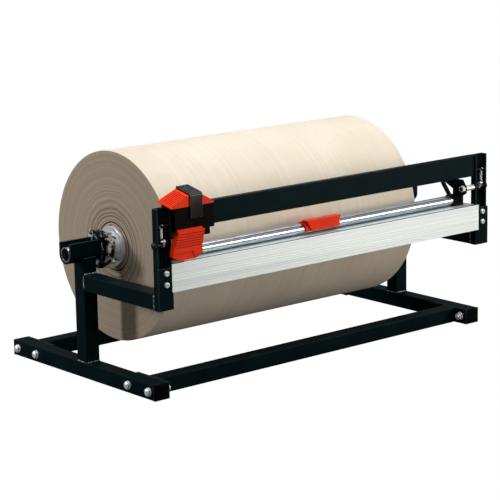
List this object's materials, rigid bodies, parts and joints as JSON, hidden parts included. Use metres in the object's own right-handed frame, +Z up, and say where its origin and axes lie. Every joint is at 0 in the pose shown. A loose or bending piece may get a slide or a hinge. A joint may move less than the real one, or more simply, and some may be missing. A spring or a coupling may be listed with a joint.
{
  "type": "gift wrap paper cutter",
  "caption": "Counter stand that holds a large kraft paper roll on a shaft, with a clamp bar and a sliding cutter head over a slotted aluminium profile.",
  "frame": {"origin": "centre of the stand's footprint box on the surface it stands on", "axes": "+X along the roll to the user's right, +Y from the cutting side to the back, +Z up"},
  "size_m": [0.87, 0.4746, 0.408],
  "materials": {
    "black_oxide": "blackened steel",
    "frame_paint": "satin black paint",
    "zinc": "bright zinc plate",
    "anodised_aluminium": "satin anodised",
    "chrome": "polished",
    "bare_steel": "bright drawn",
    "kraft_paper": "matte",
    "core_board": "matte",
    "spring_steel": "bright",
    "red_plastic": "satin moulded",
    "black_plastic": "satin moulded",
    "pale_plastic": "moulded"
  },
  "bodies": {
    "frame": {"foot_tube_left": "frame_paint", "foot_tube_right": "frame_paint", "foot_end_caps": "black_plastic", "upright_left": "frame_paint", "upright_right": "frame_paint", "shaft_cradle_left": "frame_paint", "shaft_cradle_right": "frame_paint", "arm_left": "frame_paint", "arm_right": "frame_paint", "post_channel_left": "frame_paint", "post_channel_right": "frame_paint", "cross_beam_front": "frame_paint", "cross_beam_rear": "frame_paint", "beam_flanges": "frame_paint", "beam_bolts": "zinc", "beam_washers": "zinc", "beam_nuts": "zinc", "upper_rail": "frame_paint", "cutting_profile": "anodised_aluminium", "slot_liner": "black_plastic", "profile_bracket_left": "frame_paint", "profile_bracket_right": "frame_paint", "bracket_bolts": "zinc", "bracket_nuts": "zinc", "spring_anchor_pins": "black_oxide", "clamp_spring_left": "spring_steel", "clamp_spring_right": "spring_steel"},
    "roll": {"roll_shaft": "bare_steel", "roll_chuck_left": "chrome", "roll_chuck_right": "chrome", "chuck_screws": "zinc", "shaft_stop_collar": "zinc", "collar_screw": "zinc", "cardboard_core": "core_board", "paper_roll": "kraft_paper"},
    "clamp": {"clamp_tube": "chrome", "clamp_end_block_left": "black_plastic", "clamp_end_block_right": "black_plastic", "lever_plate_left": "frame_paint", "lever_plate_right": "frame_paint", "lever_struts": "frame_paint", "lever_spacers": "zinc", "pivot_bolt_left": "black_oxide", "pivot_bolt_right": "black_oxide", "pivot_washers": "black_oxide", "pivot_sleeves": "zinc", "pivot_nuts": "zinc", "spring_cranks": "zinc", "clamp_grip": "red_plastic"},
    "head": {"head_body": "black_plastic", "head_cap": "red_plastic", "glide_pads": "pale_plastic", "blade_housing": "red_plastic", "cutting_blade": "spring_steel", "blade_screw": "zinc", "button_spring": "spring_steel"},
    "button": {"thumb_button": "black_plastic"}
  },
  "joints": [
    {"name": "roll_spin", "type": "hinge", "parent": "frame", "child": "roll", "pos_m": [0, 0.01275, 0.233], "axis": [1, 0, 0], "continuous": true},
    {"name": "clamp_lift", "type": "hinge", "parent": "frame", "child": "clamp", "pos_m": [0, -0.21625, 0.279], "axis": [1, 0, 0], "range_deg": [0, 14], "stiffness_Nm_per_rad": 1, "springref_deg": -17.19, "deforming": ["clamp_spring_left", "clamp_spring_right"]},
    {"name": "head_slide", "type": "slide", "parent": "frame", "child": "head", "axis": [1, 0, 0], "range_m": [0, 0.665]},
    {"name": "button_press", "type": "slide", "parent": "head", "child": "button", "axis": [0, 0, -1], "range_m": [0, 0.003], "stiffness_N_per_m": 400, "springref_m": -0.003, "deforming": ["button_spring"]}
  ]
}
